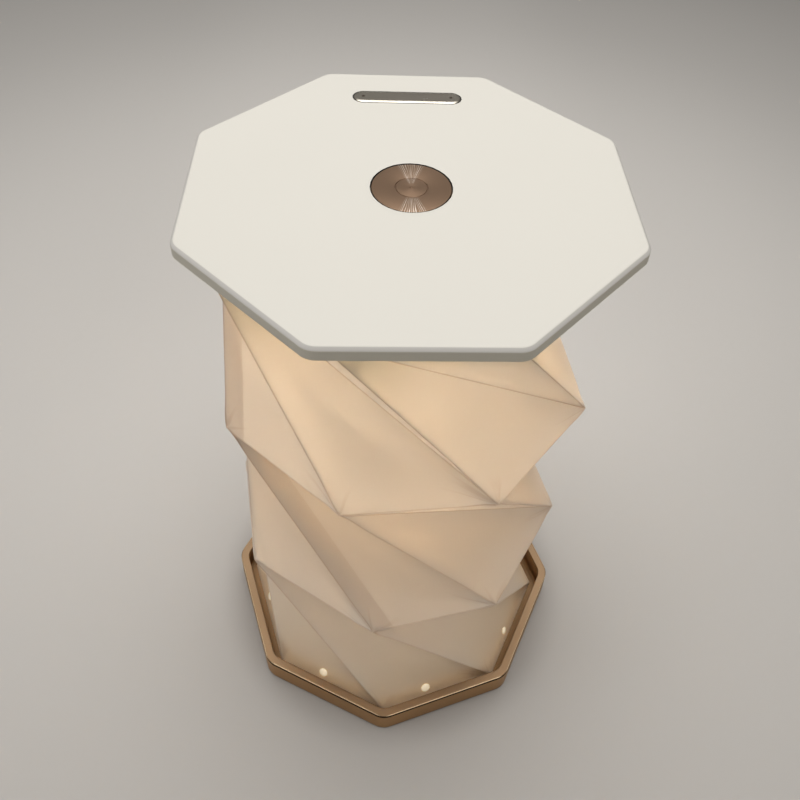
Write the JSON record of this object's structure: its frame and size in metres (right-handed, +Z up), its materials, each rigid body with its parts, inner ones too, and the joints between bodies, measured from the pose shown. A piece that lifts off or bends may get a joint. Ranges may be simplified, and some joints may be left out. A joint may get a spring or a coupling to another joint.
{
  "type": "table lamp",
  "caption": "Cordless octagonal table lamp whose folded, twisting film shade drops flat between a white lid with a push button and a bronze tray.",
  "frame": {"origin": "centre of the underside, on the surface that the lamp stands on", "axes": "+Z up along the lamp's axis; the lid's front flat faces -Y, and its name plate and charging socket are towards +Y; the tray is turned against the lid by the twist of the raised shade"},
  "size_m": [0.1828, 0.1828, 0.2889],
  "materials": {
    "white_lid": "fine matt, soft white",
    "white_plastic": "matt moulded white",
    "shade_film": "translucent creased paper-like film",
    "rivet_plastic": "smooth cream white",
    "bronze": "satin anodised, champagne bronze",
    "button_metal": "turned and brushed, bronze tinted",
    "polished_steel": "polished",
    "white_steel": "steel with a white powder coat, so that the tray throws light back up",
    "steel": "zinc plated",
    "rubber": "matt",
    "black_plastic": "matt",
    "circuit_board": "solder mask",
    "light_board": "white solder mask on aluminium",
    "light_chip": "phosphor gel",
    "battery_foil": "foil pouch",
    "cable_film": "amber film",
    "opal": "opal, silky"
  },
  "bodies": {
    "base": {"base_pad": "rubber", "base_tray": "bronze", "weight_plate": "white_steel", "weight_screws": "steel", "base_magnets": "steel", "base_rim": "bronze", "lower_hem_ring": "white_plastic", "shade_rivets": "rivet_plastic", "shade": "shade_film"},
    "light_carrier": {"diffuser": "opal"},
    "head": {"upper_hem_ring": "white_plastic", "plate_cover": "white_plastic", "cover_screws": "steel", "top_plate": "white_lid", "head_magnets": "steel", "name_plate": "polished_steel", "name_plate_pins": "button_metal", "charge_board": "circuit_board", "usb_socket": "polished_steel", "ribbon_cable": "cable_film", "hub_cup": "white_plastic", "hub_screws": "steel", "control_board": "circuit_board", "tact_switch": "black_plastic", "battery": "battery_foil", "led_board": "light_board", "leds": "light_chip", "button_seat": "black_plastic"},
    "button": {"button_disc": "button_metal", "switch_plunger": "black_plastic"}
  },
  "joints": [
    {"name": "fold_drop", "type": "slide", "parent": "base", "child": "light_carrier", "axis": [0, 0, -1], "range_m": [0, 0.266], "deforming": ["shade"]},
    {"name": "fold_twist", "type": "hinge", "parent": "light_carrier", "child": "head", "pos_m": [0, 0, 0.28], "axis": [0, 0, -1], "range_deg": [0, 117]},
    {"name": "button_press", "type": "slide", "parent": "head", "child": "button", "axis": [0, 0, -1], "range_m": [0, 0.0006], "stiffness_N_per_m": 1500, "springref_m": -0.0002}
  ],
  "couplings": [
    {"joint": "fold_twist", "follows": "fold_drop", "rad_per_m": 7.66}
  ]
}
